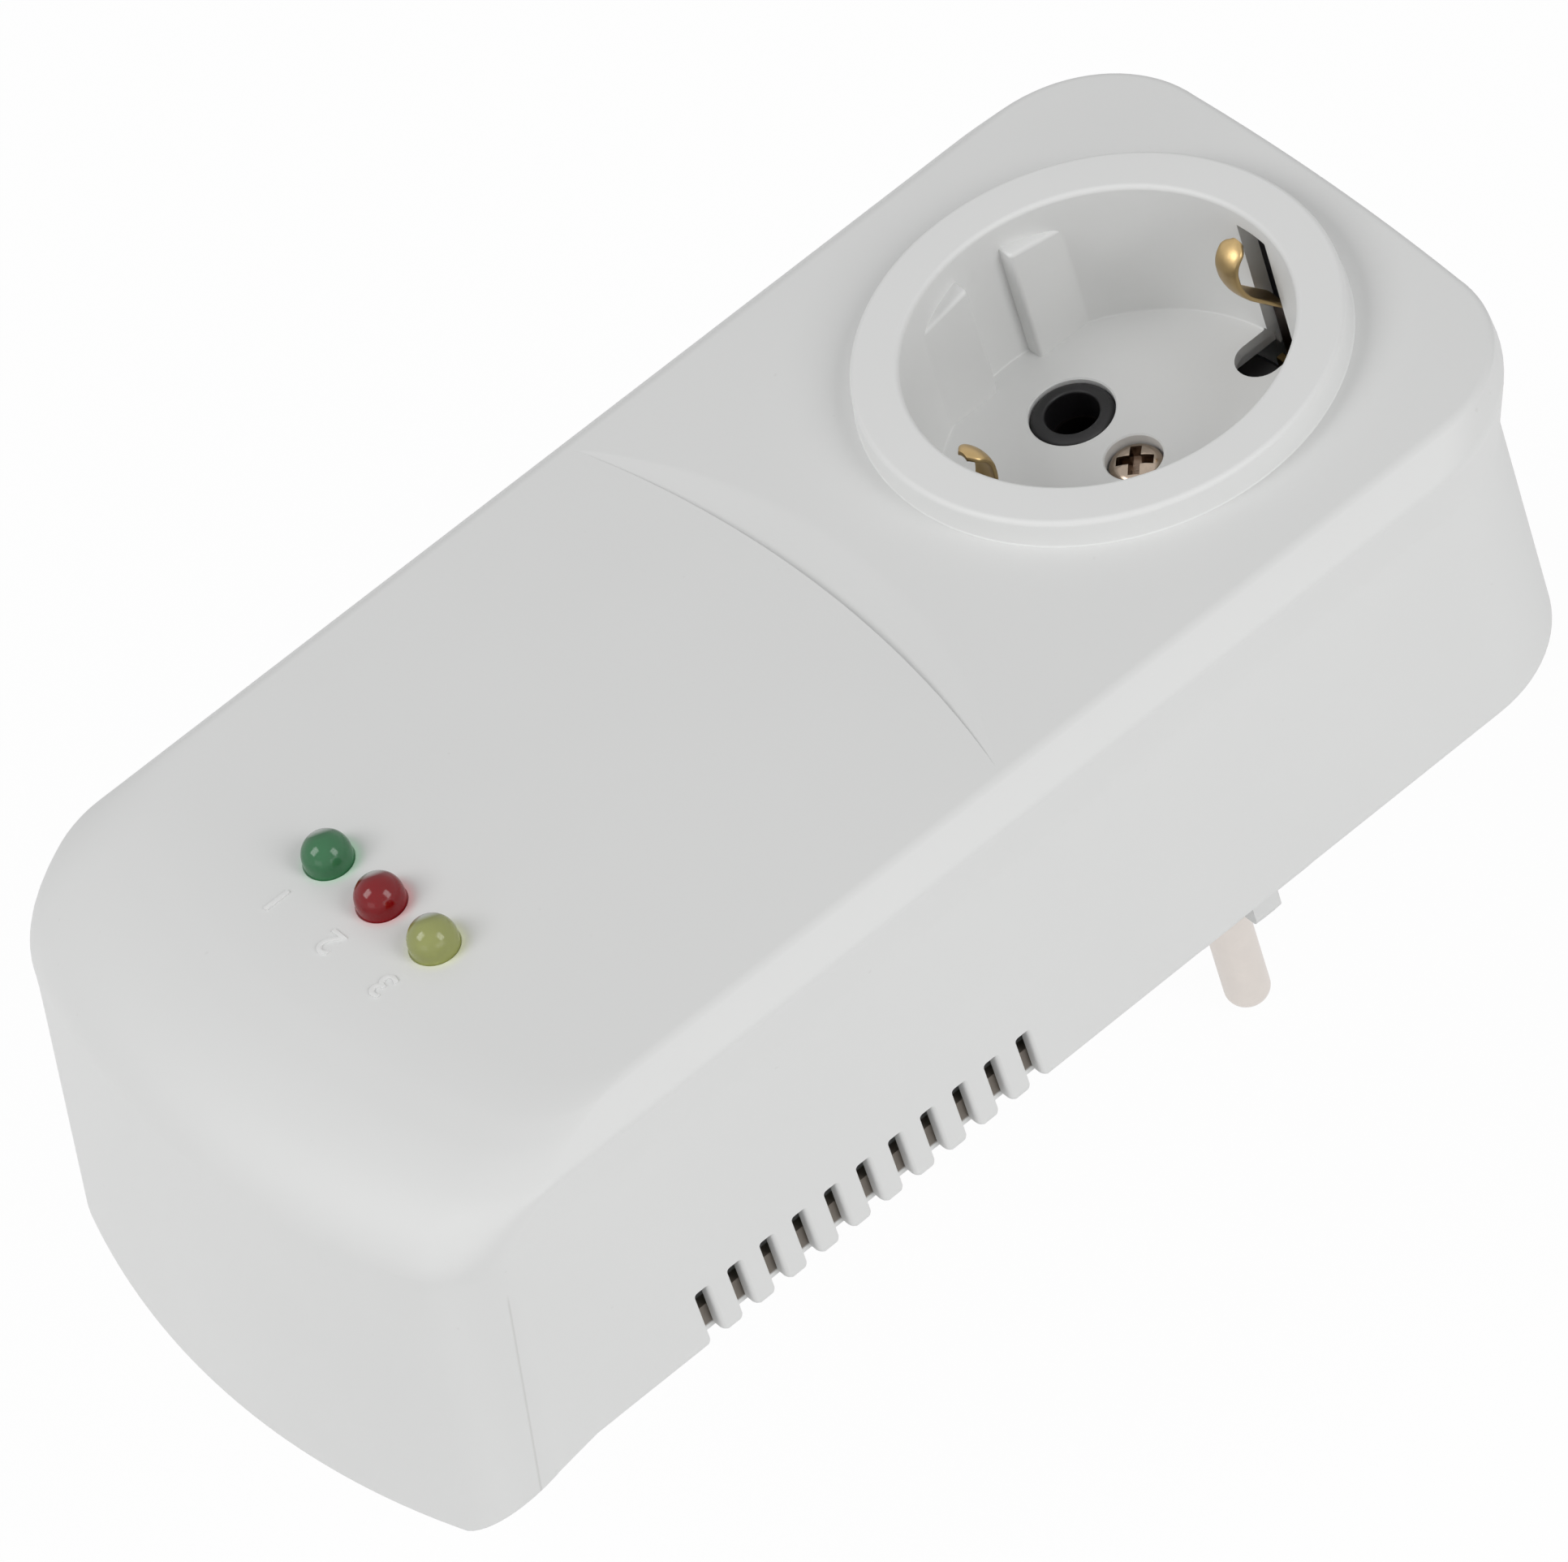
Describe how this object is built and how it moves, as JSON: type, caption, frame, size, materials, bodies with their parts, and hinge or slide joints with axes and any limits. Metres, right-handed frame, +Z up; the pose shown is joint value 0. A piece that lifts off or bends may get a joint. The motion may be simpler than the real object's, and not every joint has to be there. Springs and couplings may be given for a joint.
{
  "type": "plug-through voltage protector",
  "caption": "Voltage protector with a grounded plug beneath, a matching socket with sprung earth clips on top, lamps at one end, and a relay board inside.",
  "frame": {"origin": "centre of the plug's face, between its two pins", "axes": "+X from the lamp end towards the socket end, +Y across the case in the plane of the two pins, +Z up out of the socket; the pins point along -Z"},
  "size_m": [0.1538, 0.073, 0.0828],
  "materials": {
    "case": "off-white, fine satin",
    "contact_plastic": "black",
    "holder_plastic": "grey",
    "pin_metal": "nickel plated",
    "brass": "bright",
    "screw_steel": "zinc plated",
    "board": "green varnish",
    "green_resin": "clear green resin",
    "red_resin": "clear red resin",
    "yellow_resin": "clear yellow resin",
    "tinned_wire": "tinned",
    "relay_plastic": "dark blue",
    "bobbin_plastic": "natural",
    "copper": "enamelled copper wire",
    "soft_iron": "plain",
    "contact_alloy": "bright",
    "film_plastic": "yellow",
    "sleeve_plastic": "near black",
    "varistor_coat": "blue",
    "fuse_glass": "clear",
    "fuse_metal": "nickel plated",
    "chip_plastic": "black",
    "trimmer_plastic": "blue",
    "rotor_plastic": "white",
    "resistor_coat": "beige"
  },
  "bodies": {
    "case": {"top_shell": "case", "socket_insert": "case", "base_cover": "case", "contact_block": "contact_plastic", "pin_holder": "holder_plastic", "plug_pins": "pin_metal", "contact_sleeves": "brass", "plug_earth_contact": "brass", "earth_strap": "brass", "neutral_strap": "brass", "live_out_strap": "brass", "live_in_strap": "brass", "case_screws": "screw_steel", "socket_screw": "screw_steel", "board_screws": "screw_steel", "circuit_board": "board", "lamp_green": "green_resin", "lamp_red": "red_resin", "lamp_yellow": "yellow_resin", "lamp_leads": "tinned_wire", "relay_base": "relay_plastic", "relay_cover": "relay_plastic", "coil_bobbin": "bobbin_plastic", "coil_winding": "copper", "coil_core": "soft_iron", "relay_yoke": "soft_iron", "fixed_contacts": "contact_alloy", "film_capacitor": "film_plastic", "smoothing_capacitor": "sleeve_plastic", "varistor": "varistor_coat", "fuse_tube": "fuse_glass", "fuse_caps": "fuse_metal", "control_chip": "chip_plastic", "diodes": "chip_plastic", "transistor": "chip_plastic", "trimmers": "trimmer_plastic", "trimmer_rotors": "rotor_plastic", "resistors": "resistor_coat"},
    "right_clip": {"earth_clip_right": "brass"},
    "left_clip": {"earth_clip_left": "brass"},
    "relay_armature": {"armature": "soft_iron", "contact_spring": "contact_alloy"}
  },
  "joints": [
    {"name": "right_clip_flex", "type": "hinge", "parent": "case", "child": "right_clip", "pos_m": [0.03075, 0, 0.039], "axis": [0, 1, 0], "range_deg": [0, 4], "stiffness_Nm_per_rad": 0.8},
    {"name": "left_clip_flex", "type": "hinge", "parent": "case", "child": "left_clip", "pos_m": [-0.01015, 0, 0.039], "axis": [0, -1, 0], "range_deg": [0, 4], "stiffness_Nm_per_rad": 0.8},
    {"name": "armature_pivot", "type": "hinge", "parent": "case", "child": "relay_armature", "pos_m": [-0.03375, -0.0185, 0.05355], "axis": [0, 1, 0], "range_deg": [0, 2.5], "stiffness_Nm_per_rad": 0.05}
  ]
}
